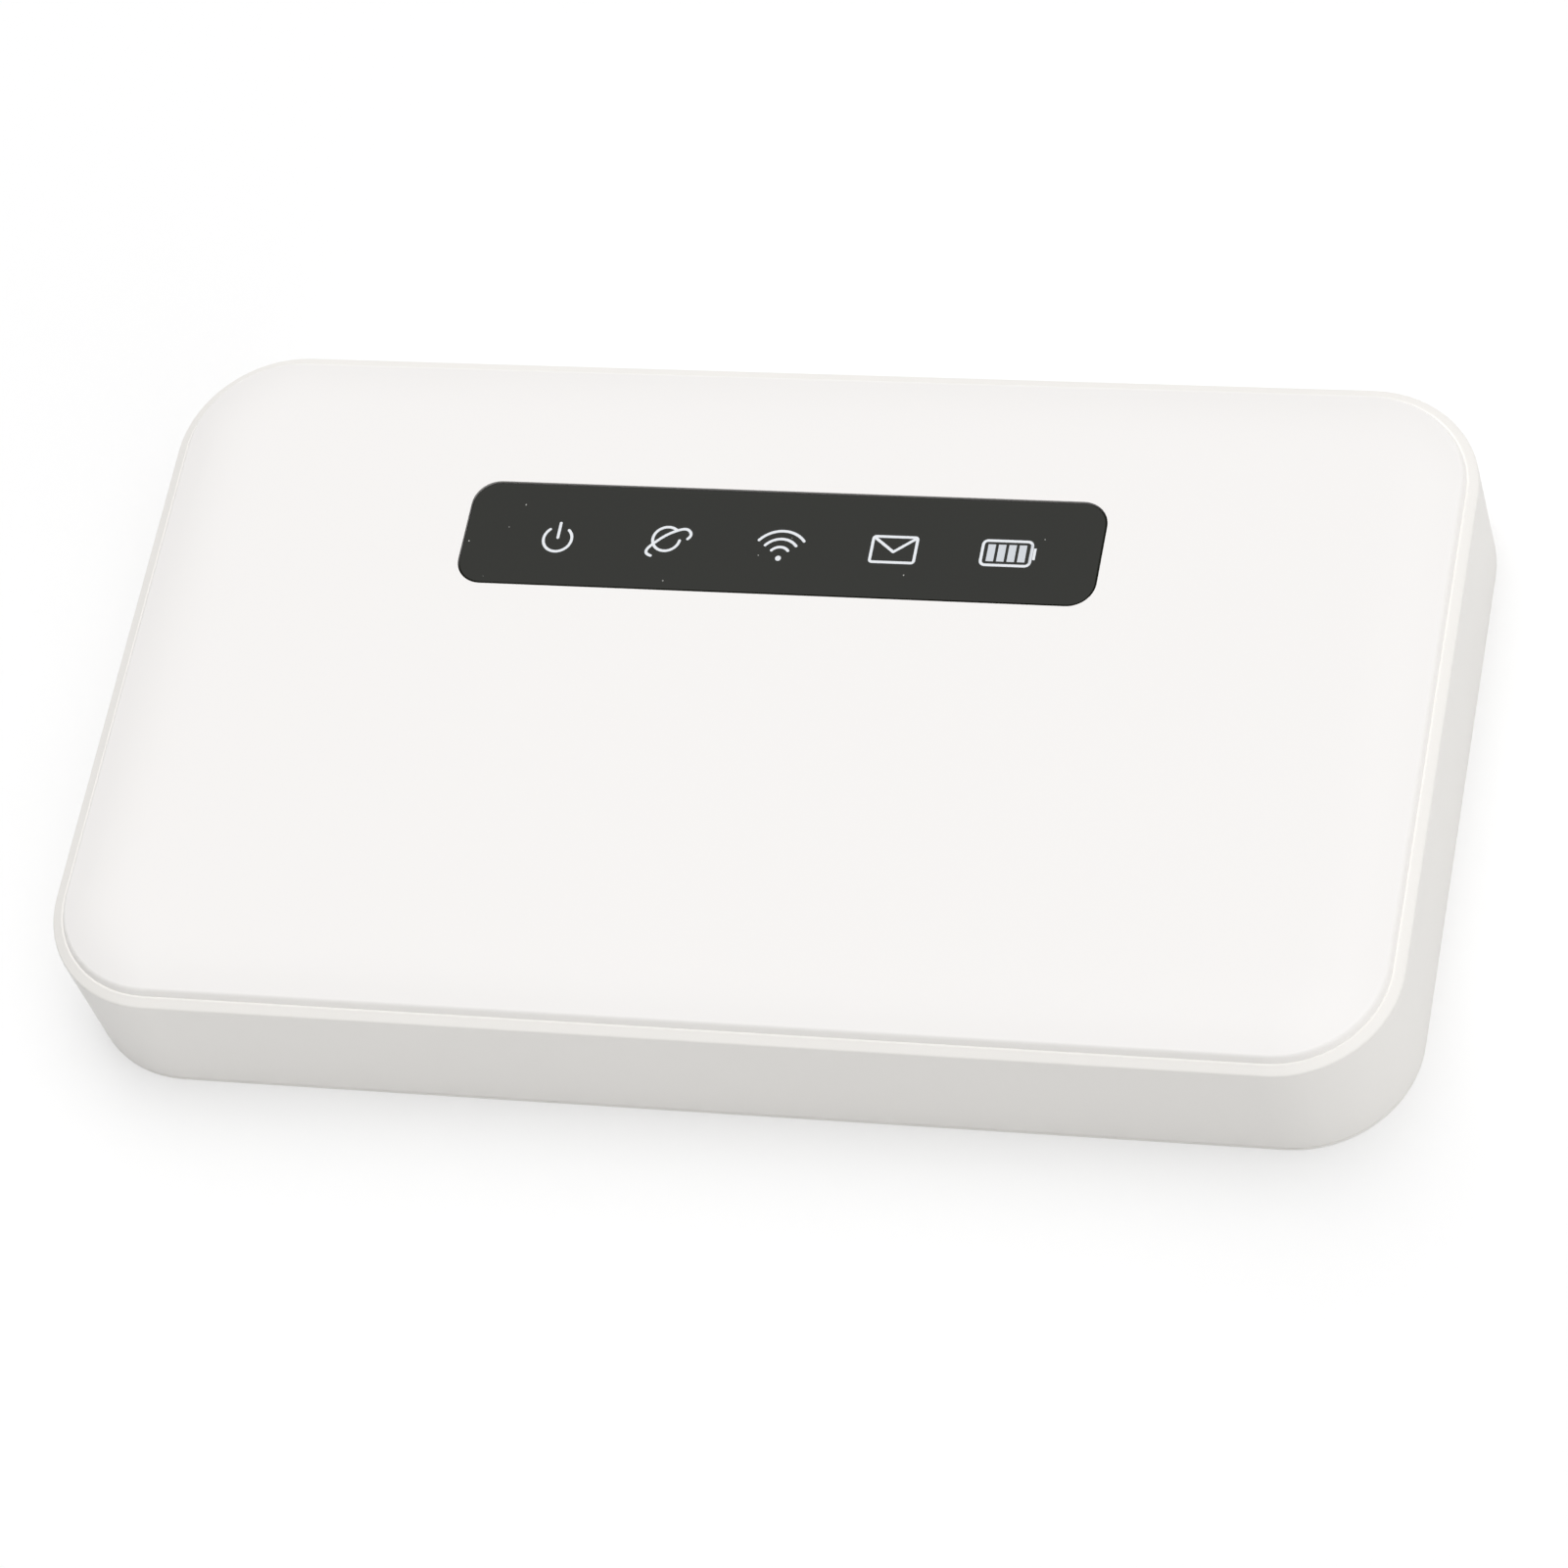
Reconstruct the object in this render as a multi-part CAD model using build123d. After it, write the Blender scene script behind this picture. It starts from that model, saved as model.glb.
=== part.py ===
from build123d import *
import math
import os

# Pocket Wi-Fi router. Millimetres. Origin at the centre of the base, +X along the long side to the right,
# +Y towards the edge that carries the indicator window and the charging socket, +Z up.

# Outside of the case
LENGTH, DEPTH, HEIGHT = 100.0, 57.0, 12.45
CORNER = 8.8  # corner radius of the plain side walls
WALL = 1.5
PARTING_Z = 0.45  # where the edge of the back cover meets the walls
PARTING_BEVEL = 0.12  # along the upper edge of the back cover
BASE_ROUND = 0.2  # along its lower edge
PLATE_Z = 0.85  # top of the back cover inside the walls

# Bevelled rim and the seat of the top cover, as insets from the side wall
RIM_Z = 10.85
RIM_RUN, RIM_RISE = 0.72, 0.33
RIM_ROUND, CREST_ROUND = 0.2, 0.05
SEAT_Z = RIM_Z + RIM_RISE  # the cover's edge rests on the crest of the walls

# Pillowed top cover
COVER_INSET = 0.87
COVER_UNDER_Z = 11.25
EDGE_INSET, EDGE_SLOPE = 1.03, 68.0  # the edge leans in this far, at this slope, before it rounds over
CROWN_INSET, CROWN_Z = 1.24, 11.78  # where the crown starts, above the rounded edge
CROWN_KNEE_INSET, CROWN_KNEE_Z = 3.2, 12.22
CROWN_FLAT_INSET = 8.4  # the top is flat further in
CROWN_SLOPE = 16.0  # degrees, at the edge
SKIRT_OUTER, SKIRT_INNER, SKIRT_Z = 1.6, 2.3, 9.85

# Indicator window
LENS_X, LENS_Y = -0.62, 12.37
LENS_LENGTH, LENS_WIDTH, LENS_ROUND = 48.5, 8.9, 2.0
LENS_TOP_Z, LENS_THICK = 12.4, 0.8
LENS_GAP = 0.06
LENS_CHAMFER = 0.1  # round its upper edge
LENS_LEDGE = 1.0
LENS_BEZEL, LENS_BEZEL_THICK = 1.0, 0.4  # thickening under the cover, round the window
ADHESIVE = 0.1
ICON_DEPTH = 0.12
ICON_STROKE = 0.22
ICON_X = (-17.62, -9.26, -0.45, 8.12, 16.59)
ICON_Y = 12.22
SHIELD_BAR_LENGTH, SHIELD_BAR_WIDTH = 44.0, 5.6
WELL_LENGTH, WELL_WIDTH = 5.0, 4.2
LED_LENGTH, LED_WIDTH, LED_BASE, LED_HEIGHT = 1.6, 0.8, 0.3, 0.7

# Deck that parts the battery bay from the circuit board
DECK_Z, DECK_THICK = 6.25, 0.8
DECK_NOTCH_Y = 22.2  # the notches for the socket and the switches reach in to here
BOARD_Z, BOARD_THICK, BOARD_INSET = 8.25, 0.8, 2.3
BOARD_TOP_Z = BOARD_Z + BOARD_THICK

# Centres of what stands on the board, in X and Y
MODEM_SHIELD, WIFI_SHIELD, POWER_SHIELD = (-22, -8), (10, -9), (31, 3)
BASEBAND, MEMORY, RF_FRONT_END = (-28, -10), (-15, -10), (-28, -1)
INDUCTOR = (32, -14)
CRYSTALS = ((-4, -2), (24, -16))
ANTENNA_FEEDS = ((-42, 6), (-42, -6), (42, 6), (8, -23.2))
CAN_HEIGHT, CAN_SHEET, CAN_VENT = 1.8, 0.2, 0.4
CHIP_HEIGHT = 1.0
ANTENNA_Z = COVER_UNDER_Z - 0.15  # underside of the antennas, which the springs press on

# Battery
BATTERY_LEFT, BATTERY_RIGHT, BATTERY_WIDTH = -14.5, 46.5, 43.0
BATTERY_MIDDLE = (BATTERY_LEFT + BATTERY_RIGHT) / 2
BATTERY_Z, BATTERY_THICK, BATTERY_ROUND = 1.05, 5.0, 0.8
BATTERY_CAP = 3.0
BATTERY_WRAP = 0.1
TERMINAL_Y = (-3.75, -1.25, 1.25, 3.75)
TERMINAL_Z = 3.95
TERMINAL_WIDTH, TERMINAL_HEIGHT, TERMINAL_THICK = 1.6, 2.6, 0.2
BLADE_WIDTH = 0.8
RIB, RIB_Z, RIB_GAP = 0.8, 2.25, 0.3

# Screws from the bay into the top cover
SCREW_X, SCREW_Y = 43.0, 24.3
SCREW_SHANK, SCREW_HEAD, SCREW_HEAD_THICK = 0.8, 1.6, 1.0
SCREW_TOP_Z = 10.65
BOSS = 1.9
THREAD_GAP = 0.02
CROSS_LENGTH, CROSS_WIDTH, CROSS_DEPTH = 1.8, 0.4, 0.5

# Controls and socket in the back wall
PORT_Z = 6.85
USB_X, USB_WIDTH, USB_HEIGHT, USB_DEPTH = 6.0, 7.5, 2.6, 5.0
USB_SHEET, USB_RECESS = 0.3, 0.6
POWER_X, POWER_WIDTH, POWER_HEIGHT = -22.0, 10.0, 2.6
BUTTON_PROUD, BUTTON_GAP = 0.4, 0.12
BUTTON_ROUND, BUTTON_FLANGE = 0.3, 1.0
RESET_X, PINHOLE = 20.0, 0.6
NOTCH_X, NOTCH_LENGTH, NOTCH_HEIGHT, NOTCH_DEPTH = -38.0, 9.0, 1.8, 0.6  # fingernail notch
SWITCH_WIDTH, SWITCH_DEPTH, SWITCH_HEIGHT = 4.6, 2.7, 1.9
SWITCH_FRONT_Y, PLUNGER_TIP_Y = 25.2, 25.9

# SIM card and its socket, open to the bay
SIM_X, SIM_WIDTH, SIM_LENGTH, SIM_THICK = -32.0, 12.0, 15.0, 0.76
SIM_Y, SIM_Z, SIM_TRAVEL = 3.0, 6.9, 16.0
SIM_CORNER = 2.5
SIM_PITCH, SIM_ROWS = 2.54, (-3.2, 3.2)
LABEL_LENGTH, LABEL_WIDTH, LABEL_THICK = 44.0, 30.0, 0.08

# Snap hooks of the back cover
LIP_OUTER, LIP_INNER, LIP_Z = 1.62, 2.5, 2.05
HOOK_WIDTH, HOOK_Z, HOOK_BARB = 6.0, 3.05, 0.08
HOOK_X = (-26.0, 0.0, 26.0)
HOOK_THICK, BARB_HEIGHT = 0.9, 0.5
FOAM_Y, FOAM_LENGTH, FOAM_WIDTH = 15.0, 50.0, 6.0

FRONT_Y, BACK_Y = -DEPTH / 2, DEPTH / 2


def direction(degrees):
    """The unit vector at this slope."""
    return math.cos(math.radians(degrees)), math.sin(math.radians(degrees))


def outline(inset):
    """The case outline, moved in by inset."""
    return RectangleRounded(LENGTH - 2 * inset, DEPTH - 2 * inset, CORNER - inset)


def slab(inset, z0, z1):
    """A solid of the case outline between two heights."""
    return extrude(Plane.XY.offset(z0) * outline(inset), z1 - z0)


def ring(outer_inset, inner_inset, z0, z1):
    """A wall that follows the case outline."""
    return slab(outer_inset, z0, z1) - slab(inner_inset, z0, z1)


def block(x0, x1, y0, y1, z0, z1):
    """A box between two corners."""
    box = Box(x1 - x0, y1 - y0, z1 - z0)
    return Pos((x0 + x1) / 2, (y0 + y1) / 2, (z0 + z1) / 2) * box


def brick(x, y, length, width, z0, z1, radius=0.0):
    """An upright box about a centre, with rounded upright edges where radius is given."""
    shape = RectangleRounded(length, width, radius) if radius else Rectangle(length, width)
    return extrude(Pos(x, y, z0) * shape, z1 - z0)


def post(x, y, radius, z0, z1):
    """An upright cylinder."""
    return extrude(Pos(x, y, z0) * Circle(radius), z1 - z0)


def through_back(shape, x, z, y0, y1):
    """A flat shape at (x, z), extruded through the back wall from y0 to y1."""
    return extrude(Plane((x, y0, z), x_dir=(-1, 0, 0), z_dir=(0, 1, 0)) * shape, y1 - y0)


def band(section):
    """A section given as inset and height, carried once round the case outline."""
    straight_x, straight_y = LENGTH / 2 - CORNER, DEPTH / 2 - CORNER
    front = Plane((-straight_x, FRONT_Y, 0), x_dir=(0, 1, 0), z_dir=(1, 0, 0)) * section
    left = Plane((-LENGTH / 2, straight_y, 0), x_dir=(1, 0, 0), z_dir=(0, -1, 0)) * section
    quarter = Plane((-CORNER, 0, 0), x_dir=(1, 0, 0), z_dir=(0, -1, 0)) * section
    turn = revolve(quarter, Axis.Z, 90)
    half = extrude(front, 2 * straight_x) + extrude(left, 2 * straight_y)
    half += Pos(-straight_x, -straight_y, 0) * turn
    half += Pos(straight_x, -straight_y, 0) * Rot(0, 0, 90) * turn
    return half + Rot(0, 0, 180) * half


def screw_places():
    return [(sx * SCREW_X, sy * SCREW_Y) for sx in (-1, 1) for sy in (-1, 1)]


def lens_blank(shrink, z0, z1):
    """A solid of the window's outline, smaller by shrink on every side."""
    length, width = LENS_LENGTH - 2 * shrink, LENS_WIDTH - 2 * shrink
    return brick(LENS_X, LENS_Y, length, width, z0, z1, LENS_ROUND - shrink)


# ---- case ----


def make_top_cover():
    # the rounded edge turns from one slope to the other, so its chord lies halfway between the two
    chord_slope = math.radians((EDGE_SLOPE + CROWN_SLOPE) / 2)
    edge_start = (EDGE_INSET, CROWN_Z - (CROWN_INSET - EDGE_INSET) * math.tan(chord_slope))
    edge_end, flat = (CROWN_INSET, CROWN_Z), (CROWN_FLAT_INSET, HEIGHT)
    edge = TangentArc(edge_start, edge_end, tangent=direction(EDGE_SLOPE))
    crown_tangents = [direction(CROWN_SLOPE), direction(0)]
    crown = Spline(edge_end, (CROWN_KNEE_INSET, CROWN_KNEE_Z), flat, tangents=crown_tangents)
    rest = Polyline(
        flat,
        (CROWN_FLAT_INSET, COVER_UNDER_Z),
        (SKIRT_INNER, COVER_UNDER_Z),
        (SKIRT_INNER, SKIRT_Z),
        (SKIRT_OUTER, SKIRT_Z),
        (SKIRT_OUTER, SEAT_Z),
        (COVER_INSET, SEAT_Z),
        edge_start,
    )
    cover = band(make_face([edge, crown, rest])) + slab(CROWN_FLAT_INSET, COVER_UNDER_Z, HEIGHT)
    for x, y in screw_places():
        cover += post(x, y, BOSS, BOARD_TOP_Z, COVER_UNDER_Z)
    lens_floor = LENS_TOP_Z - LENS_THICK - ADHESIVE
    bezel_z = COVER_UNDER_Z - LENS_BEZEL_THICK
    cover += lens_blank(-LENS_BEZEL, bezel_z, COVER_UNDER_Z)
    cover -= lens_blank(-LENS_GAP, lens_floor, HEIGHT)
    cover -= lens_blank(LENS_LEDGE, bezel_z, HEIGHT)
    for x, y in screw_places():
        cover -= post(x, y, SCREW_SHANK + THREAD_GAP, BOARD_TOP_Z, SCREW_TOP_Z + 0.1)
    return cover


def housing_walls():
    corners = [
        (0, PARTING_Z),
        (0, RIM_Z),
        (RIM_RUN, SEAT_Z),
        (WALL, SEAT_Z),
        (WALL, PARTING_Z),
    ]
    section = make_face(Polyline(*corners, close=True))
    rim_vertices = section.vertices().filter_by(lambda v: v.Y > RIM_Z - 0.01)
    section = fillet(rim_vertices.sort_by(Axis.X)[0], RIM_ROUND)
    seat_vertices = section.vertices().filter_by(lambda v: v.Y > SEAT_Z - 0.01)
    return band(fillet(seat_vertices.sort_by(Axis.X)[0], CREST_ROUND))


def battery_ribs():
    """Low walls that hang from the deck and keep the battery in place, with a gap for a finger."""
    half = BATTERY_WIDTH / 2 + RIB_GAP
    left = BATTERY_LEFT - RIB_GAP
    ribs = block(left - RIB, left, -half - RIB, half + RIB, RIB_Z, DECK_Z)
    ribs += block(left, BATTERY_RIGHT, half, half + RIB, RIB_Z, DECK_Z)
    ribs += block(left, BATTERY_RIGHT, -half - RIB, -half, RIB_Z, DECK_Z)
    ribs -= block(6, 24, -half - 2 * RIB, -half + RIB, RIB_Z, DECK_Z)
    ribs -= block(left - 2 * RIB, left + RIB, -6.2, 6.2, RIB_Z, DECK_Z)
    return ribs


def deck_windows():
    """The deck is open under everything that hangs from the circuit board."""
    z0, z1 = DECK_Z - 0.1, DECK_Z + DECK_THICK + 0.1
    inner_back = BACK_Y - WALL
    windows = block(SIM_X - 7.6, SIM_X + 7.6, SIM_Y - SIM_TRAVEL - 2, SIM_Y + SIM_LENGTH + 2.2, z0, z1)
    windows += block(-19.7, BATTERY_LEFT - 0.3, -6.2, 6.2, z0, z1)
    for x, half in ((USB_X, 4.6), (POWER_X, 6.6), (RESET_X, 3.0)):
        windows += block(x - half, x + half, DECK_NOTCH_Y, inner_back, z0, z1)
    return windows


def wall_openings():
    """Socket mouth, power button hole, reset pinhole and fingernail notch."""
    outside = BACK_Y + 1
    inner_back = BACK_Y - WALL
    mouth = RectangleRounded(USB_WIDTH + 1.0, USB_HEIGHT + 0.9, 1.0)
    cuts = through_back(mouth, USB_X, PORT_Z + 0.1, inner_back - 0.5, outside)
    hole_round = POWER_HEIGHT / 2 + BUTTON_GAP - 0.001
    hole = RectangleRounded(POWER_WIDTH + 2 * BUTTON_GAP, POWER_HEIGHT + 2 * BUTTON_GAP, hole_round)
    cuts += through_back(hole, POWER_X, PORT_Z, inner_back - 0.5, outside)
    cuts += through_back(Circle(PINHOLE), RESET_X, PORT_Z + 0.4, inner_back - 0.5, outside)
    notch = RectangleRounded(NOTCH_LENGTH, NOTCH_HEIGHT, NOTCH_HEIGHT / 2 - 0.05)
    cuts += through_back(notch, NOTCH_X, PARTING_Z, BACK_Y - NOTCH_DEPTH, outside)
    return cuts


def make_main_housing():
    housing = housing_walls()
    housing += slab(WALL - 0.05, DECK_Z, DECK_Z + DECK_THICK) - deck_windows()
    housing += battery_ribs()
    for x, y in screw_places():
        housing += post(x, y, BOSS, DECK_Z + DECK_THICK, BOARD_Z)
        housing -= post(x, y, SCREW_SHANK + 0.1, DECK_Z, BOARD_Z)
    return housing - wall_openings()


def make_back_cover():
    flange = slab(0, 0, PARTING_Z)
    flange = fillet(flange.edges().group_by(Axis.Z)[0], BASE_ROUND)
    flange = chamfer(flange.edges().group_by(Axis.Z)[-1], PARTING_BEVEL)
    cover = flange + slab(LIP_OUTER, PARTING_Z, PLATE_Z) + ring(LIP_OUTER, LIP_INNER, PLATE_Z, LIP_Z)
    outer_y = BACK_Y - LIP_OUTER
    for x in HOOK_X:
        for side in (-1, 1):
            x0, x1 = x - HOOK_WIDTH / 2, x + HOOK_WIDTH / 2
            y0, y1 = sorted((side * outer_y, side * (outer_y - HOOK_THICK)))
            cover += block(x0, x1, y0, y1, PLATE_Z, HOOK_Z)
            barb0, barb1 = sorted((side * outer_y, side * (outer_y + HOOK_BARB)))
            cover += block(x0, x1, barb0, barb1, HOOK_Z - BARB_HEIGHT, HOOK_Z)
    return cover


def make_housing_screws():
    screws = []
    for x, y in screw_places():
        bottom = DECK_Z - SCREW_HEAD_THICK
        head = post(x, y, SCREW_HEAD, bottom, DECK_Z)
        head = fillet(head.edges().group_by(Axis.Z)[0], 0.4)
        for length, width in ((CROSS_LENGTH, CROSS_WIDTH), (CROSS_WIDTH, CROSS_LENGTH)):
            head -= brick(x, y, length, width, bottom, bottom + CROSS_DEPTH)
        screws.append(head + post(x, y, SCREW_SHANK, DECK_Z, SCREW_TOP_Z))
    return Compound(screws)


def make_foam_pads():
    pads = []
    for y in (-FOAM_Y, FOAM_Y):
        pads.append(brick(BATTERY_MIDDLE, y, FOAM_LENGTH, FOAM_WIDTH, PLATE_Z, BATTERY_Z, 0.5))
    return Compound(pads)


# ---- window ----


def stroke(path):
    """A line of the symbols' width that follows a path, with round ends."""
    line = trace(path, line_width=ICON_STROKE)
    for end in (path @ 0, path @ 1):
        line += Pos(end.X, end.Y) * Circle(ICON_STROKE / 2)
    return line


def arc_stroke(radius, start, arc_size):
    return stroke(CenterArc((0, 0), radius, start, arc_size))


def frame_outline(length, width, radius):
    """A rounded frame of the symbols' line width, its length and width taken to the middle of the line."""
    outside = RectangleRounded(length + ICON_STROKE, width + ICON_STROKE, radius + ICON_STROKE / 2)
    return outside - RectangleRounded(length - ICON_STROKE, width - ICON_STROKE, radius - ICON_STROKE / 2)


def power_symbol():
    bar = stroke(Line((0, 0.12), (0, 1.4)))
    return Pos(0, -0.23) * (arc_stroke(1.09, 131, 276) + bar)


def network_symbol():
    """A globe, open on its right, with a hooked orbit line across it."""
    left_hook = [(-0.94, -1.5), (-1.34, -1.2), (-0.85, -0.37)]
    right_hook = [(0.68, 0.75), (1.52, 0.86), (1.78, 0.58), (1.62, 0.07)]
    orbit = Spline(*left_hook, *right_hook)
    return Pos(0, 0.13) * (arc_stroke(1.04, 52, 302) + stroke(orbit))


def wifi_symbol():
    symbol = Pos(0, -0.18) * Circle(0.22)
    for radius in (0.80, 1.50, 2.19):
        symbol += arc_stroke(radius, 39, 103)
    return Pos(0, -1.0) * symbol


def message_symbol():
    flap = stroke(Line((-1.6, 1.04), (0, -0.2))) + stroke(Line((0, -0.2), (1.6, 1.04)))
    return Pos(0, -0.05) * (frame_outline(3.33, 2.21, 0.2) + flap)


def battery_symbol():
    """An outline with four filled cells and the raised tip at its right end."""
    cells = [Pos(x, 0) * Rectangle(0.56, 1.46) for x in (-1.17, -0.39, 0.39, 1.17)]
    return [frame_outline(3.68, 2.1, 0.36), Pos(2.08, 0) * Rectangle(0.2, 1.0)] + cells


def icon_solid(symbol, x):
    """A symbol let into the window, flush with its face."""
    faces = symbol if isinstance(symbol, list) else [symbol]
    place = Pos(x, ICON_Y, LENS_TOP_Z - ICON_DEPTH)
    solids = []
    for face in faces:
        solids += extrude(place * face, ICON_DEPTH, dir=(0, 0, 1)).solids()
    return Compound(solids)


def make_icons():
    symbols = {
        "icon_power": power_symbol(),
        "icon_network": network_symbol(),
        "icon_wifi": wifi_symbol(),
        "icon_message": message_symbol(),
        "icon_battery": battery_symbol(),
    }
    return {name: icon_solid(symbol, x) for (name, symbol), x in zip(symbols.items(), ICON_X)}


def make_indicator_lens(icons):
    lens = lens_blank(0, LENS_TOP_Z - LENS_THICK, LENS_TOP_Z)
    lens = chamfer(lens.edges().group_by(Axis.Z)[-1], LENS_CHAMFER)
    for icon in icons.values():
        for solid in icon.solids():
            lens -= solid
    return lens


def make_lens_adhesive():
    z1 = LENS_TOP_Z - LENS_THICK
    return lens_blank(0.2, z1 - ADHESIVE, z1) - lens_blank(LENS_LEDGE - 0.1, z1 - ADHESIVE, z1)


def make_light_diffuser():
    z1 = LENS_TOP_Z - LENS_THICK
    return lens_blank(LENS_LEDGE + 0.2, z1 - 0.2, z1)


def make_light_shield():
    """A bar between the board and the window, with one well for each symbol."""
    top = LENS_TOP_Z - LENS_THICK - 0.25
    shield = brick(LENS_X, LENS_Y, SHIELD_BAR_LENGTH, SHIELD_BAR_WIDTH, BOARD_TOP_Z, top, 0.5)
    for x in ICON_X:
        shield -= brick(x, ICON_Y, WELL_LENGTH, WELL_WIDTH, BOARD_TOP_Z, top, 0.4)
    return shield


def make_status_leds():
    leds = []
    base_z = BOARD_TOP_Z + LED_BASE
    for x in ICON_X:
        base = brick(x, ICON_Y, LED_LENGTH, LED_WIDTH, BOARD_TOP_Z, base_z)
        leds.append(base + brick(x, ICON_Y, LED_LENGTH - 0.5, LED_WIDTH, base_z, BOARD_TOP_Z + LED_HEIGHT))
    return Compound(leds)


# ---- circuit board ----


def make_main_pcb():
    board = slab(BOARD_INSET, BOARD_Z, BOARD_TOP_Z)
    for x, y in screw_places():
        board -= post(x, y, SCREW_SHANK + 0.2, BOARD_Z, BOARD_TOP_Z)
    return board


def shield_can(x, y, length, width):
    """A drawn sheet can, open towards the board, with a row of vent holes."""
    top = BOARD_TOP_Z + CAN_HEIGHT
    can = brick(x, y, length, width, BOARD_TOP_Z, top, 0.6)
    can -= brick(x, y, length - 2 * CAN_SHEET, width - 2 * CAN_SHEET, BOARD_TOP_Z, top - CAN_SHEET, 0.4)
    for step in range(-2, 3):
        can -= post(x + step * length / 7, y + width / 2 - 2, CAN_VENT, top - 0.3, top)
    return can


def chip(place, length, width, height):
    return brick(*place, length, width, BOARD_TOP_Z, BOARD_TOP_Z + height)


def board_parts():
    chip_top = BOARD_TOP_Z + CHIP_HEIGHT
    crystals = [brick(x, y, 3.2, 2.5, BOARD_TOP_Z, chip_top, 0.4) for x, y in CRYSTALS]
    springs = [brick(x, y, 1.4, 2.8, BOARD_TOP_Z, ANTENNA_Z) for x, y in ANTENNA_FEEDS]
    return {
        "modem_shield": shield_can(*MODEM_SHIELD, 32, 24),
        "wifi_shield": shield_can(*WIFI_SHIELD, 20, 16),
        "power_shield": shield_can(*POWER_SHIELD, 12, 18),
        "baseband_chip": chip(BASEBAND, 12, 12, CHIP_HEIGHT),
        "memory_chip": chip(MEMORY, 9, 11, 0.9),
        "rf_front_end": chip(RF_FRONT_END, 6, 4, 0.8),
        "wifi_chip": chip(WIFI_SHIELD, 7, 7, 0.9),
        "power_management_chip": chip(POWER_SHIELD, 6, 6, 0.8),
        "thermal_pad": brick(*BASEBAND, 11, 11, chip_top, BOARD_TOP_Z + CAN_HEIGHT - CAN_SHEET),
        "charging_inductor": brick(*INDUCTOR, 4, 4, BOARD_TOP_Z, BOARD_TOP_Z + 1.8, 0.8),
        "crystal_oscillators": Compound(crystals),
        "antenna_springs": Compound(springs),
    }


def make_antennas():
    """Flexible antennas glued under the top cover."""
    z0, z1 = ANTENNA_Z, COVER_UNDER_Z
    main = brick(-42, 0, 7, 32, z0, z1, 0.5)
    main -= brick(-41, -8, 3, 10, z0, z1) + brick(-41, 10, 3, 6, z0, z1)
    diversity = brick(42, 0, 6, 30, z0, z1, 0.5) - brick(41, -4, 2.4, 12, z0, z1)
    wifi = brick(8, -23.2, 22, 4, z0, z1, 0.5) - brick(2, -22.6, 6, 1.4, z0, z1)
    return {"lte_main_antenna": main, "lte_diversity_antenna": diversity, "wifi_antenna": wifi}


# ---- charging socket ----


def usb_section(shrink):
    """The socket's cross-section: wide on the board side, with its other two corners cut off."""
    half_width, half_height = USB_WIDTH / 2 - shrink, USB_HEIGHT / 2 - shrink
    cut = 0.9 - shrink * 0.6
    points = [
        (-half_width, half_height),
        (half_width, half_height),
        (half_width, -half_height + cut),
        (half_width - cut, -half_height),
        (-half_width + cut, -half_height),
        (-half_width, -half_height + cut),
    ]
    return make_face(Polyline(*points, close=True))


def usb_places():
    """Height of the socket's axis, and its mouth and rear along Y."""
    mouth = BACK_Y - USB_RECESS
    return BOARD_Z - USB_HEIGHT / 2, mouth, mouth - USB_DEPTH


def make_usb_shell():
    z, mouth, rear = usb_places()
    shell = through_back(usb_section(0), USB_X, z, rear, mouth)
    return shell - through_back(usb_section(USB_SHEET), USB_X, z, rear + USB_SHEET, mouth)


def make_usb_tongue():
    z, mouth, rear = usb_places()
    inside = rear + USB_SHEET
    root = block(USB_X - 2.6, USB_X + 2.6, inside, inside + 0.7, z - 0.9, z + 0.95)
    return root + block(USB_X - 1.9, USB_X + 1.9, inside, mouth - 0.8, z, z + 0.6)


def make_usb_contacts():
    z, mouth, rear = usb_places()
    start, end = rear + USB_SHEET + 0.7, mouth - 1.1
    strips = [block(x - 0.15, x + 0.15, start, end, z - 0.08, z) for x in contact_places(USB_X, 5, 0.65)]
    return Compound(strips)


def contact_places(centre, count, pitch):
    return [centre + pitch * (i - (count - 1) / 2) for i in range(count)]


# ---- buttons ----


def make_power_button():
    inner_back = BACK_Y - WALL
    cap_round = POWER_HEIGHT / 2 - 0.001
    face = RectangleRounded(POWER_WIDTH, POWER_HEIGHT, cap_round)
    cap = through_back(face, POWER_X, PORT_Z, inner_back - 0.1, BACK_Y + BUTTON_PROUD)
    cap = fillet(cap.faces().sort_by(Axis.Y)[-1].edges(), BUTTON_ROUND)
    flange = RectangleRounded(POWER_WIDTH + 2 * BUTTON_FLANGE, POWER_HEIGHT, 0.5)
    cap += through_back(flange, POWER_X, PORT_Z, inner_back - 0.6, inner_back - 0.02)
    pusher = block(POWER_X - 1.2, POWER_X + 1.2, PLUNGER_TIP_Y, inner_back - 0.6, PORT_Z - 0.3, PORT_Z + 1.0)
    return cap + pusher


def plunger_box(x, clearance, y0, y1):
    z = BOARD_Z - SWITCH_HEIGHT / 2
    return block(x - 0.9 - clearance, x + 0.9 + clearance, y0, y1, z - 0.45 - clearance, z + 0.45 + clearance)


def make_switch(x):
    """A side-push switch under the board's back edge, with the well that its plunger slides in."""
    middle_y = SWITCH_FRONT_Y - SWITCH_DEPTH / 2
    body = brick(x, middle_y, SWITCH_WIDTH, SWITCH_DEPTH, BOARD_Z - SWITCH_HEIGHT, BOARD_Z)
    return body - plunger_box(x, 0.05, SWITCH_FRONT_Y - 1.1, SWITCH_FRONT_Y)


def make_plunger(x):
    return plunger_box(x, 0, SWITCH_FRONT_Y - 0.6, PLUNGER_TIP_Y)


# ---- SIM card ----


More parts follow.
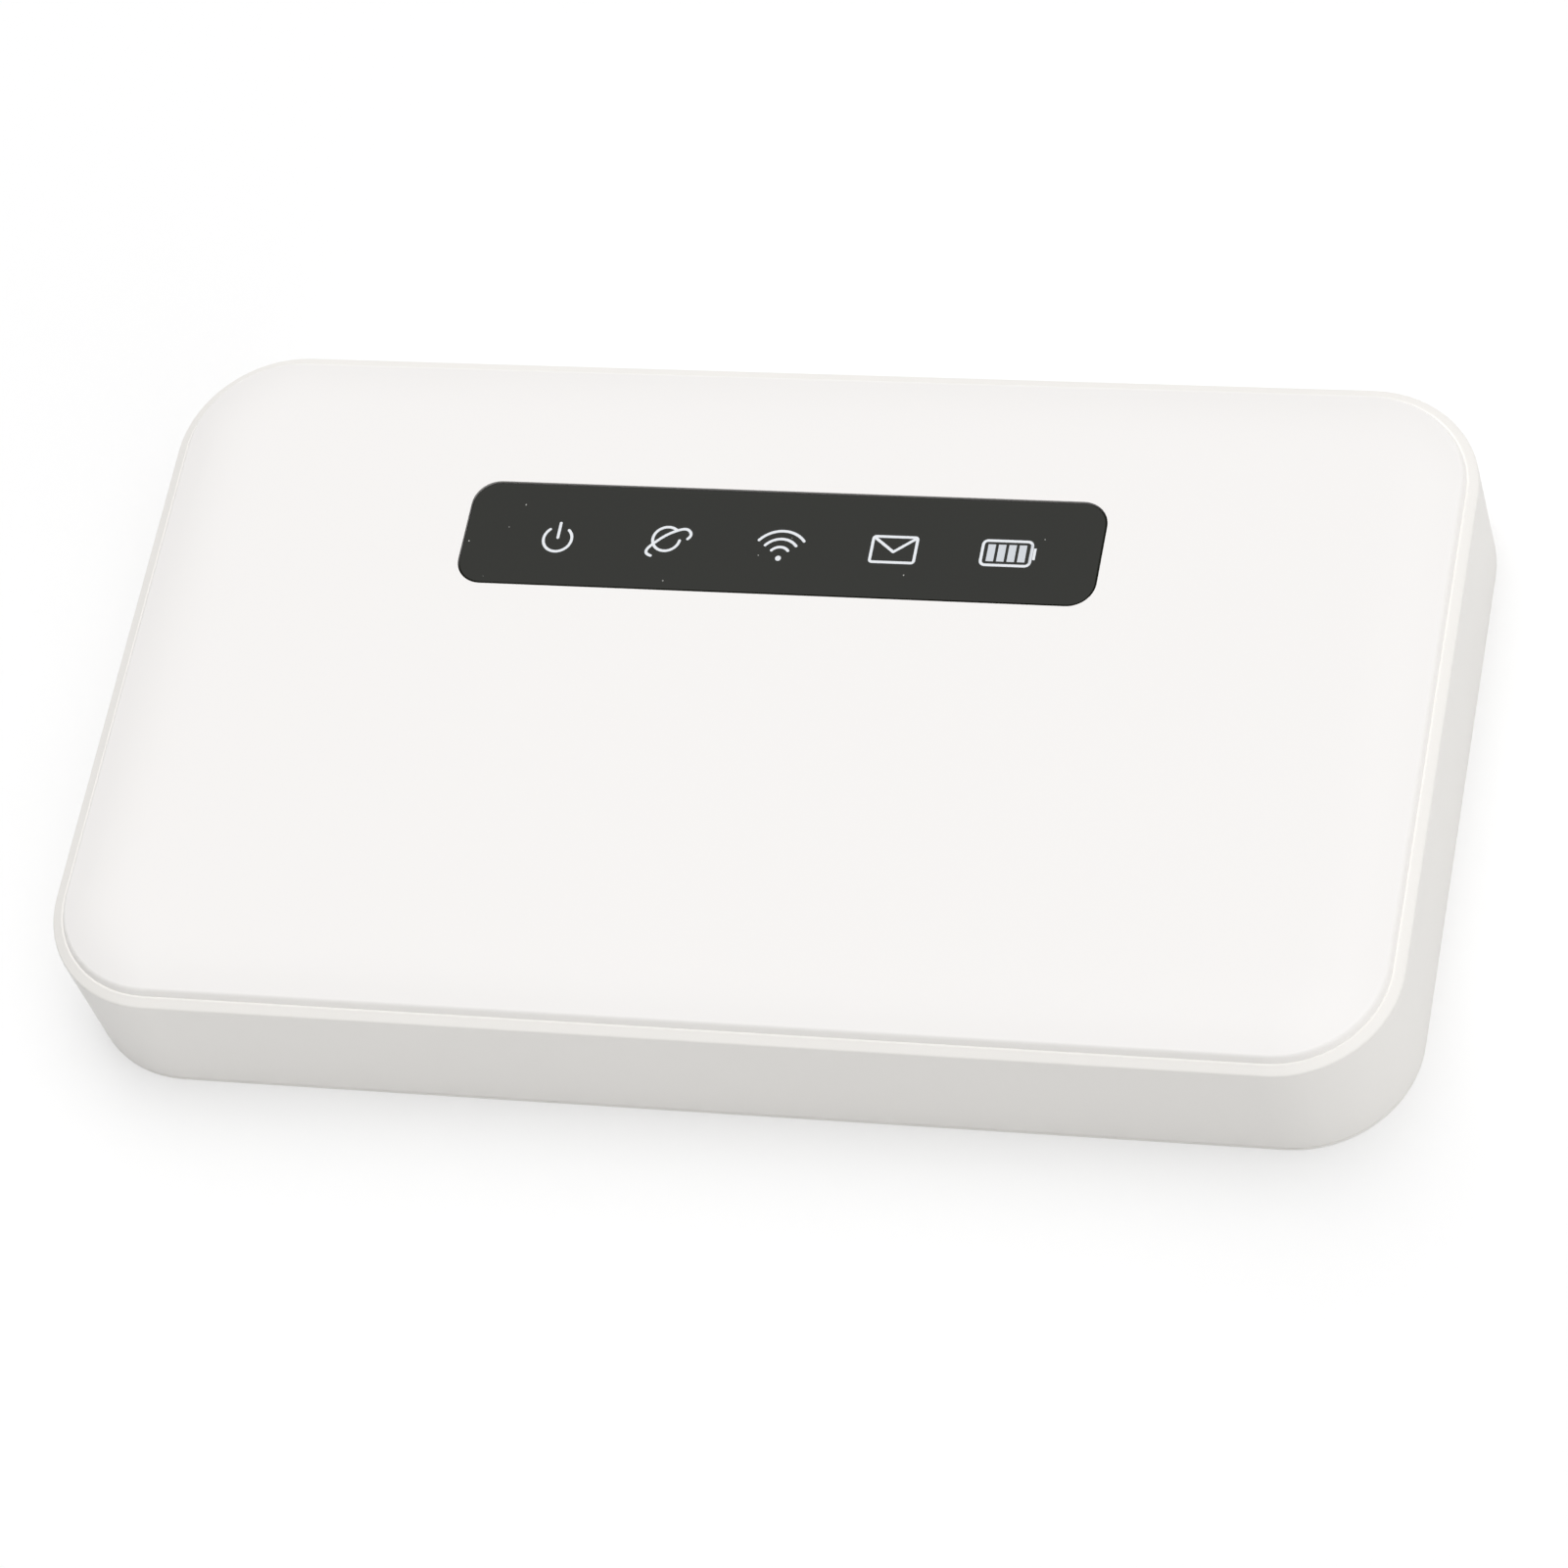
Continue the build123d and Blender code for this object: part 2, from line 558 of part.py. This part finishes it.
def make_sim_socket():
    y0, y1 = SIM_Y + 1, SIM_Y + SIM_LENGTH + 0.8
    half = SIM_WIDTH / 2
    outer = block(SIM_X - half - 0.8, SIM_X + half + 0.8, y0, y1, SIM_Z - 0.25, BOARD_Z)
    slot_top = SIM_Z + SIM_THICK + 0.2
    slot = block(SIM_X - half - 0.1, SIM_X + half + 0.1, y0, y1 - 0.6, SIM_Z - 0.05, slot_top)
    window = block(SIM_X - half + 1.2, SIM_X + half - 1.2, y0, y1 - 2.5, SIM_Z - 0.3, SIM_Z)
    return outer - slot - window


def sim_contact_places():
    centre = SIM_Y + SIM_LENGTH - 5.5
    return [(SIM_X + dx, centre + dy) for dx in SIM_ROWS for dy in contact_places(0, 3, SIM_PITCH)]


def make_sim_contacts():
    z0 = SIM_Z + SIM_THICK + 0.02
    contacts = [block(x - 0.9, x + 0.9, y - 0.4, y + 0.4, z0, z0 + 0.18) for x, y in sim_contact_places()]
    return Compound(contacts)


def make_sim_card():
    card = brick(SIM_X, SIM_Y + SIM_LENGTH / 2, SIM_WIDTH, SIM_LENGTH, SIM_Z, SIM_Z + SIM_THICK, 0.8)
    far_x, far_y = SIM_X + SIM_WIDTH / 2, SIM_Y + SIM_LENGTH
    corner_points = [(far_x, far_y), (far_x - SIM_CORNER, far_y), (far_x, far_y - SIM_CORNER)]
    corner = make_face(Polyline(*corner_points, close=True))
    card -= extrude(Pos(0, 0, SIM_Z) * corner, SIM_THICK)
    return card - make_sim_card_pads()


def make_sim_card_pads():
    z1 = SIM_Z + SIM_THICK
    pads = [block(x - 1.1, x + 1.1, y - 0.8, y + 0.8, z1 - 0.05, z1) for x, y in sim_contact_places()]
    return Compound(pads)


# ---- battery ----


def make_battery_pack():
    """The wrapped cell, recessed by the thickness of the wrap between its two ends."""
    x0, x1 = BATTERY_LEFT + BATTERY_CAP, BATTERY_RIGHT
    half, top = BATTERY_WIDTH / 2, BATTERY_Z + BATTERY_THICK
    cell = block(x0, x1, -half, half, BATTERY_Z, top)
    cell = fillet(cell.edges().filter_by(Axis.X), BATTERY_ROUND)
    return cell - make_battery_wrap()


def make_battery_wrap():
    x0, x1 = BATTERY_LEFT + BATTERY_CAP + 0.8, BATTERY_RIGHT - 2.2
    half, top = BATTERY_WIDTH / 2, BATTERY_Z + BATTERY_THICK
    outside = block(x0, x1, -half, half, BATTERY_Z, top)
    outside = fillet(outside.edges().filter_by(Axis.X), BATTERY_ROUND)
    t = BATTERY_WRAP
    inside = block(x0, x1, -half + t, half - t, BATTERY_Z + t, top - t)
    return outside - fillet(inside.edges().filter_by(Axis.X), BATTERY_ROUND - t)


def make_battery_end_cap():
    half, top = BATTERY_WIDTH / 2, BATTERY_Z + BATTERY_THICK
    cap = block(BATTERY_LEFT, BATTERY_LEFT + BATTERY_CAP, -half, half, BATTERY_Z, top)
    cap = fillet(cap.edges().filter_by(Axis.X), BATTERY_ROUND)
    return cap - make_battery_terminals()


def make_battery_terminals():
    z0, z1 = TERMINAL_Z - TERMINAL_HEIGHT / 2, TERMINAL_Z + TERMINAL_HEIGHT / 2
    x0, x1, half = BATTERY_LEFT, BATTERY_LEFT + TERMINAL_THICK, TERMINAL_WIDTH / 2
    return Compound([block(x0, x1, y - half, y + half, z0, z1) for y in TERMINAL_Y])


def make_battery_connector():
    """The block hangs from the board, through the deck, beside the battery's terminals."""
    x1 = BATTERY_LEFT - 0.7
    body = block(x1 - 4.2, x1, -5.5, 5.5, TERMINAL_Z - 1.6, BOARD_Z)
    for y in TERMINAL_Y:
        body -= block(x1 - 1.0, x1, y - 0.5, y + 0.5, TERMINAL_Z - 1.2, TERMINAL_Z + 1.2)
    return body


def make_battery_springs():
    """Bowed contact blades, tips on the battery's terminals."""
    x1 = BATTERY_LEFT - 0.7
    blades = []
    for y in TERMINAL_Y:
        ends = [(x1 - 0.8, TERMINAL_Z - 1.0), (x1 - 0.8, TERMINAL_Z + 1.0)]
        bow = ThreePointArc(ends[0], (BATTERY_LEFT - 0.22, TERMINAL_Z), ends[1])
        side = Plane((0, y + BLADE_WIDTH / 2, 0), x_dir=(1, 0, 0), z_dir=(0, -1, 0))
        blades.append(extrude(side * trace(bow, line_width=0.3), BLADE_WIDTH))
    return Compound([solid for blade in blades for solid in blade.solids()])


def make_info_label():
    return brick(BATTERY_MIDDLE, 0, LABEL_LENGTH, LABEL_WIDTH, DECK_Z - LABEL_THICK, DECK_Z, 1.0)


def all_parts():
    icons = make_icons()
    parts = {
        "top_cover": make_top_cover(),
        "main_housing": make_main_housing(),
        "back_cover": make_back_cover(),
        "housing_screws": make_housing_screws(),
        "battery_foam_pads": make_foam_pads(),
        "indicator_lens": make_indicator_lens(icons),
        "lens_adhesive": make_lens_adhesive(),
        "light_diffuser": make_light_diffuser(),
        "light_shield": make_light_shield(),
        "status_leds": make_status_leds(),
        "main_pcb": make_main_pcb(),
        "usb_shell": make_usb_shell(),
        "usb_tongue": make_usb_tongue(),
        "usb_contacts": make_usb_contacts(),
        "power_button": make_power_button(),
        "power_switch": make_switch(POWER_X),
        "power_switch_plunger": make_plunger(POWER_X),
        "reset_switch": make_switch(RESET_X),
        "reset_switch_plunger": make_plunger(RESET_X),
        "sim_socket": make_sim_socket(),
        "sim_contacts": make_sim_contacts(),
        "sim_card": make_sim_card(),
        "sim_card_pads": make_sim_card_pads(),
        "battery_pack": make_battery_pack(),
        "battery_wrap": make_battery_wrap(),
        "battery_end_cap": make_battery_end_cap(),
        "battery_terminals": make_battery_terminals(),
        "battery_connector": make_battery_connector(),
        "battery_springs": make_battery_springs(),
        "info_label": make_info_label(),
    }
    return parts | icons | board_parts() | make_antennas()


os.makedirs("parts", exist_ok=True)
for name, part in all_parts().items():
    export_step(part, f"parts/{name}.step")
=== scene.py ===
import math

import bpy
from mathutils import Matrix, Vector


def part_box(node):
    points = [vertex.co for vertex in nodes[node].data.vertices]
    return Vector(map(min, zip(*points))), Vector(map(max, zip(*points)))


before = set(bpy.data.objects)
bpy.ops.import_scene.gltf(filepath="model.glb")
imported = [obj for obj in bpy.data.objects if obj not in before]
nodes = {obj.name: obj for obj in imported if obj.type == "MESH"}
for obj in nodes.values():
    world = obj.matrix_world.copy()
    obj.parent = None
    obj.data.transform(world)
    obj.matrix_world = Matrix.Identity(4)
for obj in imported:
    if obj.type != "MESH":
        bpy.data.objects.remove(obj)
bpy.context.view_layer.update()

MM = 0.001


# ---- node helpers ----


class Tree:
    """The shader nodes of a material or of the world."""

    def __init__(self, owner, coordinates):
        owner.use_nodes = True
        self.nodes = owner.node_tree.nodes
        self.link = owner.node_tree.links.new
        self.place = self.nodes.new("ShaderNodeTexCoord").outputs[coordinates]

    def fill(self, socket, value):
        """Puts a number, a colour or another node's output into a socket."""
        if isinstance(value, (int, float)):
            socket.default_value = value
        elif isinstance(value, tuple):
            socket.default_value = (*value, 1.0)
        else:
            self.link(value, socket)

    def reckon(self, operation, a, b=0.0):
        node = self.nodes.new("ShaderNodeMath")
        node.operation = operation
        self.fill(node.inputs[0], a)
        self.fill(node.inputs[1], b)
        return node.outputs[0]


class Finish(Tree):
    """A material, whose patterns are placed by object coordinates in metres."""

    def __init__(self, name):
        self.material = bpy.data.materials.new(name)
        super().__init__(self.material, "Object")
        self.shader = self.nodes["Principled BSDF"]
        split = self.nodes.new("ShaderNodeSeparateXYZ")
        self.link(self.place, split.inputs[0])
        self.x, self.y, self.z = split.outputs
        self.colour = None

    def set(self, socket, value):
        self.fill(self.shader.inputs[socket], value)

    def mix(self, factor, a, b):
        node = self.nodes.new("ShaderNodeMix")
        node.data_type = "RGBA"
        for socket, value in (("Factor_Float", factor), ("A_Color", a), ("B_Color", b)):
            self.fill(next(i for i in node.inputs if i.identifier == socket), value)
        return next(o for o in node.outputs if o.identifier == "Result_Color")

    def ramp(self, value, low, high, out_low, out_high):
        """Goes from out_low to out_high as the value goes from low to high."""
        node = self.nodes.new("ShaderNodeMapRange")
        for socket, number in zip(node.inputs, (value, low, high, out_low, out_high)):
            self.fill(socket, number)
        return node.outputs[0]

    def stretched(self, scale):
        node = self.nodes.new("ShaderNodeMapping")
        node.inputs["Scale"].default_value = scale
        self.link(self.place, node.inputs["Vector"])
        return node.outputs["Vector"]

    def noise(self, size, detail, place=None):
        """Noise whose features are about size metres across."""
        node = self.nodes.new("ShaderNodeTexNoise")
        node.inputs["Scale"].default_value = 1 / size
        node.inputs["Detail"].default_value = detail
        self.link(place or self.place, node.inputs["Vector"])
        return node.outputs["Fac"]

    def specks(self, spacing, radius, share):
        """Scattered round specks, one in each of this share of the cells."""
        node = self.nodes.new("ShaderNodeTexVoronoi")
        node.inputs["Scale"].default_value = 1 / spacing
        self.link(self.place, node.inputs["Vector"])
        reach = radius / spacing
        speck = self.ramp(node.outputs["Distance"], reach * 0.5, reach, 1.0, 0.0)
        return self.reckon("MULTIPLY", speck, self.reckon("LESS_THAN", node.outputs["Color"], share))

    def lines(self, coordinate, pitch, width):
        """One within every line across this coordinate, and nought between the lines."""
        return self.reckon("LESS_THAN", self.reckon("PINGPONG", coordinate, pitch / 2), width / 2)

    def routed(self, pitch, width, patch):
        """Lines that run along X in some patches and along Y in the others."""
        along_x = self.reckon("GREATER_THAN", self.noise(patch, 0.0), 0.5)
        along_y = self.reckon("SUBTRACT", 1.0, along_x)
        rows = self.reckon("MULTIPLY", along_x, self.lines(self.y, pitch, width))
        columns = self.reckon("MULTIPLY", along_y, self.lines(self.x, pitch, width))
        return self.reckon("MAXIMUM", rows, columns)

    def within(self, name, margin):
        """One inside a node's outline seen from above, moved in by a margin."""
        low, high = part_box(name)
        inside = 1.0
        for coordinate, start, end in ((self.x, low.x, high.x), (self.y, low.y, high.y)):
            inside = self.reckon("MULTIPLY", inside, self.reckon("GREATER_THAN", coordinate, start + margin))
            inside = self.reckon("MULTIPLY", inside, self.reckon("LESS_THAN", coordinate, end - margin))
        return inside

    def paint(self, mask, colour):
        """Lays a colour over what is there where the mask is one."""
        self.colour = self.mix(mask, self.colour, colour)
        self.set("Base Color", self.colour)

    def bump(self, height, depth):
        node = self.nodes.new("ShaderNodeBump")
        node.inputs["Distance"].default_value = depth
        self.link(height, node.inputs["Height"])
        self.link(node.outputs["Normal"], self.shader.inputs["Normal"])

    def cover(self, *names):
        """Gives these nodes this finish."""
        for name in names:
            mesh = nodes[name].data
            mesh.materials.clear()
            mesh.materials.append(self.material)


def surface(
    name, colour, rough, mottle=4 * MM, contrast=0.03, grain=0.15 * MM, depth=0.002 * MM, stretch=None
):
    """A plain surface with mottled colour, uneven gloss and a fine grain.
    rough is the lowest and highest roughness, and stretch squeezes the grain along each axis."""
    finish = Finish(name)
    patches = finish.noise(mottle, 4.0)
    fine = finish.noise(grain, 2.0, finish.stretched(stretch) if stretch else None)
    light, dark = (tuple(c * (1 + side * contrast) for c in colour) for side in (1, -1))
    finish.colour = finish.mix(patches, dark, light)
    finish.set("Base Color", finish.colour)
    finish.set("Roughness", finish.ramp(finish.reckon("ADD", fine, patches), 0.7, 1.3, *rough))
    finish.bump(fine, depth)
    return finish


def metal(name, colour, rough, **pattern):
    finish = surface(name, colour, rough, **pattern)
    finish.set("Metallic", 1.0)
    return finish


# ---- case ----

COVER_WHITE = (0.866, 0.849, 0.835)
CASE_WHITE = (0.868, 0.849, 0.818)
PAINTED_LIGHT_WHITE = (0.955, 0.935, 0.910)
EDGE_DEPTH = 0.80 * MM  # the painted light on the cover's edge is full from this far below the cover's top downwards
EDGE_BLUR = 0.16 * MM
DUST = (0.42, 0.42, 0.40)


def finish_top_cover():
    """White plastic whose edge is painted paler, a painted light that brightens its shaded step, with a few
    specks of dust.
    """
    pattern = {"mottle": 18 * MM, "contrast": 0.006, "grain": 0.25 * MM, "depth": 0.0015 * MM}
    plastic = surface("cover_plastic", COVER_WHITE, (0.30, 0.42), **pattern)
    edge_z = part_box("top_cover")[1].z - EDGE_DEPTH
    # painted light: the cover's side below the top is painted paler to lift the shade on its step
    plastic.paint(plastic.ramp(plastic.z, edge_z, edge_z + EDGE_BLUR, 1.0, 0.0), PAINTED_LIGHT_WHITE)
    plastic.paint(plastic.specks(9 * MM, 0.07 * MM, 0.3), DUST)
    plastic.cover("top_cover")


def finish_case():
    pattern = {"mottle": 12 * MM, "contrast": 0.01, "grain": 0.2 * MM, "depth": 0.003 * MM}
    plastic = surface("case_plastic", CASE_WHITE, (0.38, 0.50), **pattern)
    plastic.cover("main_housing", "back_cover", "power_button")


# ---- window ----

SMOKE = (0.0066, 0.0074, 0.0040)
INK_WHITE = (0.76, 0.785, 0.82)
CELL_WHITE = (0.59, 0.62, 0.66)
MILKY = (0.84, 0.85, 0.85)


def finish_lens():
    pattern = {"mottle": 7 * MM, "contrast": 0.15, "grain": 0.6 * MM, "depth": 0.0003 * MM}
    acrylic = surface("smoked_acrylic", SMOKE, (0.03, 0.10), **pattern)
    acrylic.paint(acrylic.specks(1.6 * MM, 0.075 * MM, 0.5), DUST)
    acrylic.set("IOR", 1.49)
    acrylic.set("Specular IOR Level", 0.222)
    acrylic.cover("indicator_lens")


def finish_icons():
    """Pale ink, which is greyer on the filled cells of the battery symbol."""
    ink = surface("icon_ink", INK_WHITE, (0.2, 0.35), mottle=0.6 * MM)
    ink.cover("icon_power", "icon_network", "icon_wifi", "icon_message")
    battery_ink = surface("battery_ink", INK_WHITE, (0.2, 0.35), mottle=0.6 * MM)
    battery_ink.paint(battery_ink.within("icon_battery", 0.3 * MM), CELL_WHITE)
    battery_ink.cover("icon_battery")


def finish_window_inside():
    surface("milky_film", MILKY, (0.4, 0.6)).cover("light_diffuser")
    surface("led_package", (0.86, 0.84, 0.62), (0.2, 0.4), mottle=0.4 * MM).cover("status_leds")


# ---- circuit board and metal parts ----

TIN, ZINC, GOLD, COPPER = (0.72, 0.73, 0.74), (0.12, 0.12, 0.125), (0.83, 0.62, 0.28), (0.72, 0.38, 0.22)
BLACK, EPOXY, FERRITE = (0.022, 0.022, 0.024), (0.035, 0.035, 0.038), (0.06, 0.06, 0.062)
MASK_GREEN, TRACK_GREEN = (0.008, 0.085, 0.035), (0.03, 0.21, 0.08)
DARK_FILM = (0.05, 0.04, 0.03)
SILICONE = (0.35, 0.45, 0.60)


def finish_metals():
    brushed = {"mottle": 1.5 * MM, "contrast": 0.06, "grain": 0.12 * MM, "stretch": (1, 8, 1)}
    tinned_steel = metal("tinned_steel", TIN, (0.22, 0.42), **brushed)
    tinned_steel.cover("usb_shell", "power_switch", "reset_switch", "sim_socket")
    tinned_steel.cover("modem_shield", "wifi_shield", "power_shield", "crystal_oscillators")
    metal("zinc_screw", ZINC, (0.3, 0.5), mottle=0.8 * MM, contrast=0.1).cover("housing_screws")
    gold_plate = metal("gold_plate", GOLD, (0.15, 0.32), mottle=0.5 * MM, contrast=0.08)
    gold_plate.cover("usb_contacts", "sim_contacts", "sim_card_pads")
    gold_plate.cover("battery_springs", "battery_terminals", "antenna_springs")


def finish_mouldings():
    moulding = surface("black_moulding", BLACK, (0.4, 0.6), mottle=1 * MM, contrast=0.2)
    moulding.cover("light_shield", "lens_adhesive", "usb_tongue", "battery_connector", "battery_end_cap")
    moulding.cover("power_switch_plunger", "reset_switch_plunger")


def finish_chips():
    package = surface("chip_package", EPOXY, (0.45, 0.65), mottle=0.5 * MM, contrast=0.2)
    package.cover("baseband_chip", "memory_chip", "rf_front_end", "wifi_chip", "power_management_chip")
    surface("ferrite", FERRITE, (0.5, 0.8), mottle=0.3 * MM, contrast=0.3).cover("charging_inductor")
    surface("silicone_pad", SILICONE, (0.6, 0.8)).cover("thermal_pad")


def finish_board():
    """Solder mask over copper tracks, with bare plated holes."""
    board = surface("solder_mask", MASK_GREEN, (0.2, 0.4), mottle=2 * MM, contrast=0.3)
    board.paint(board.routed(0.7 * MM, 0.25 * MM, 9 * MM), TRACK_GREEN)
    board.paint(board.specks(1.8 * MM, 0.25 * MM, 0.5), GOLD)
    board.cover("main_pcb")


def finish_antennas():
    """Copper tracks with dark film between them."""
    antenna = surface("antenna_film", COPPER, (0.25, 0.45), mottle=3 * MM, contrast=0.12)
    gaps = antenna.routed(1.6 * MM, 0.4 * MM, 12 * MM)
    antenna.paint(gaps, DARK_FILM)
    antenna.set("Metallic", antenna.reckon("SUBTRACT", 1.0, gaps))
    antenna.cover("lte_main_antenna", "lte_diversity_antenna", "wifi_antenna")


# ---- battery bay ----

PAPER, FILM, INK = (0.84, 0.84, 0.82), (0.78, 0.79, 0.80), (0.10, 0.12, 0.15)
SHRINK_GREY, CARD_WHITE, FOAM = (0.14, 0.15, 0.16), (0.84, 0.85, 0.86), (0.05, 0.05, 0.055)
WIDE_BAND, NARROW_BAND, BAND_BLUR = 9.0 * MM, 2.0 * MM, 0.1 * MM


def finish_label():
    """A label with ruled fields inside a thin frame."""
    label = surface("paper_label", PAPER, (0.6, 0.8), mottle=1.5 * MM)
    outside, inside = label.within("info_label", 1.2 * MM), label.within("info_label", 1.4 * MM)
    frame_line = label.reckon("SUBTRACT", outside, inside)
    rows = label.lines(label.y, 3.6 * MM, 0.14 * MM)
    rules = label.reckon("MULTIPLY", rows, label.within("info_label", 3 * MM))
    label.paint(label.reckon("MAXIMUM", frame_line, rules), INK)
    label.cover("info_label")


def finish_battery():
    """The cell in grey film, with a pale printed wrap that has a dark band at each end."""
    surface("shrink_film", SHRINK_GREY, (0.25, 0.4)).cover("battery_pack")
    wrap = surface("printed_film", FILM, (0.3, 0.45), mottle=6 * MM)
    low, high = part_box("battery_wrap")
    wide_edge, narrow_edge = high.x - WIDE_BAND, low.x + NARROW_BAND
    wrap.paint(wrap.ramp(wrap.x, wide_edge, wide_edge + BAND_BLUR, 0.0, 1.0), INK)
    wrap.paint(wrap.ramp(wrap.x, narrow_edge + BAND_BLUR, narrow_edge, 0.0, 1.0), INK)
    wrap.cover("battery_wrap")
    pattern = {"mottle": 0.5 * MM, "contrast": 0.4, "grain": 0.3 * MM, "depth": 0.1 * MM}
    surface("foam", FOAM, (0.85, 1.0), **pattern).cover("battery_foam_pads")


def finish_sim_card():
    surface("card_stock", CARD_WHITE, (0.4, 0.55)).cover("sim_card")


for finish_part in (
    finish_top_cover,
    finish_case,
    finish_lens,
    finish_icons,
    finish_window_inside,
    finish_metals,
    finish_mouldings,
    finish_chips,
    finish_board,
    finish_antennas,
    finish_label,
    finish_battery,
    finish_sim_card,
):
    finish_part()


# ---- camera ----

AIM = (1.59 * MM, -4.505 * MM, 6.34 * MM)
DISTANCE, AZIMUTH, ELEVATION, ROLL = 453.45 * MM, 29.49, 56.17, 22.36
FOCAL_LENGTH, SENSOR = 143.19, 36.0  # in millimetres, as Blender takes them


def make_camera():
    """A camera turned about its aim point, and then about its own line of sight."""
    data = bpy.data.cameras.new("camera")
    data.lens, data.sensor_width = FOCAL_LENGTH, SENSOR
    data.clip_start, data.clip_end = 0.01, 20.0
    camera = bpy.data.objects.new("camera", data)
    azimuth, elevation, roll = (math.radians(a) for a in (AZIMUTH, ELEVATION, ROLL))
    turn = Matrix.Rotation(azimuth, 4, "Z") @ Matrix.Rotation(math.pi / 2 - elevation, 4, "X")
    back_off = Matrix.Rotation(-roll, 4, "Z") @ Matrix.Translation((0, 0, DISTANCE))
    camera.matrix_world = Matrix.Translation(AIM) @ turn @ back_off
    bpy.context.scene.collection.objects.link(camera)
    bpy.context.scene.camera = camera


# ---- floor ----

FLOOR_REACH, FLOOR_DROP = 8.0, 0.02 * MM
FLOOR_GREY, FLOOR_GLOW = 0.67, 0.30  # a little light of its own keeps the shadow soft


def make_floor():
    mesh = bpy.data.meshes.new("floor")
    r = FLOOR_REACH
    mesh.from_pydata([(-r, -r, 0), (r, -r, 0), (r, r, 0), (-r, r, 0)], [], [(0, 1, 2, 3)])
    pattern = {"mottle": 0.3, "contrast": 0.003, "grain": 2 * MM}
    paint = surface("floor_paint", (FLOOR_GREY,) * 3, (0.8, 0.9), **pattern)
    paint.set("Emission Color", (1.0, 1.0, 1.0))
    paint.set("Emission Strength", FLOOR_GLOW)
    mesh.materials.append(paint.material)
    floor = bpy.data.objects.new("floor", mesh)
    floor.location.z = -FLOOR_DROP
    bpy.context.scene.collection.objects.link(floor)


# ---- light ----

# where each soft light comes from, as degrees round from +X and above the floor, and its radiance
LIGHTS = (
    (0, 90, 2.60),
    (0, 58, 1.02),
    (60, 58, 0.30),
    (120, 58, 1.24),
    (90, 30, 0.38),
    (135, 30, 0.46),
    (315, 30, 0.81),
    (315, 6, 0.80),
)
LIGHT_FOCUS = 10.0  # a light falls to half its radiance 21 degrees off its middle
BACKDROP = 0.97


def soft_light(sky, round_degrees, above_degrees, radiance):
    """Radiance that falls off smoothly round the direction that the light comes from."""
    turn, rise = math.radians(round_degrees), math.radians(above_degrees)
    level = math.cos(rise)
    dot = sky.nodes.new("ShaderNodeVectorMath")
    dot.operation = "DOT_PRODUCT"
    dot.inputs[1].default_value = (math.cos(turn) * level, math.sin(turn) * level, math.sin(rise))
    sky.link(sky.place, dot.inputs[0])
    falloff = sky.reckon("MULTIPLY", sky.reckon("SUBTRACT", dot.outputs["Value"], 1.0), LIGHT_FOCUS)
    return sky.reckon("MULTIPLY", sky.reckon("EXPONENT", falloff), radiance)


def make_world():
    """Soft lights on a dark sky, with a plain pale backdrop where the camera looks past the floor."""
    world = bpy.data.worlds.new("world")
    bpy.context.scene.world = world
    sky = Tree(world, "Generated")
    lights = 0.0
    for light in LIGHTS:
        lights = sky.reckon("ADD", soft_light(sky, *light), lights)
    seen = sky.nodes.new("ShaderNodeLightPath").outputs["Is Camera Ray"]
    unseen = sky.reckon("SUBTRACT", 1.0, seen)
    backdrop = sky.reckon("MULTIPLY", seen, BACKDROP)
    strength = sky.reckon("ADD", sky.reckon("MULTIPLY", unseen, lights), backdrop)
    background = sky.nodes["Background"]
    sky.fill(background.inputs["Color"], (1.0, 1.0, 1.0))
    sky.fill(background.inputs["Strength"], strength)


make_camera()
make_floor()
make_world()
bpy.context.scene.view_settings.view_transform = "Standard"
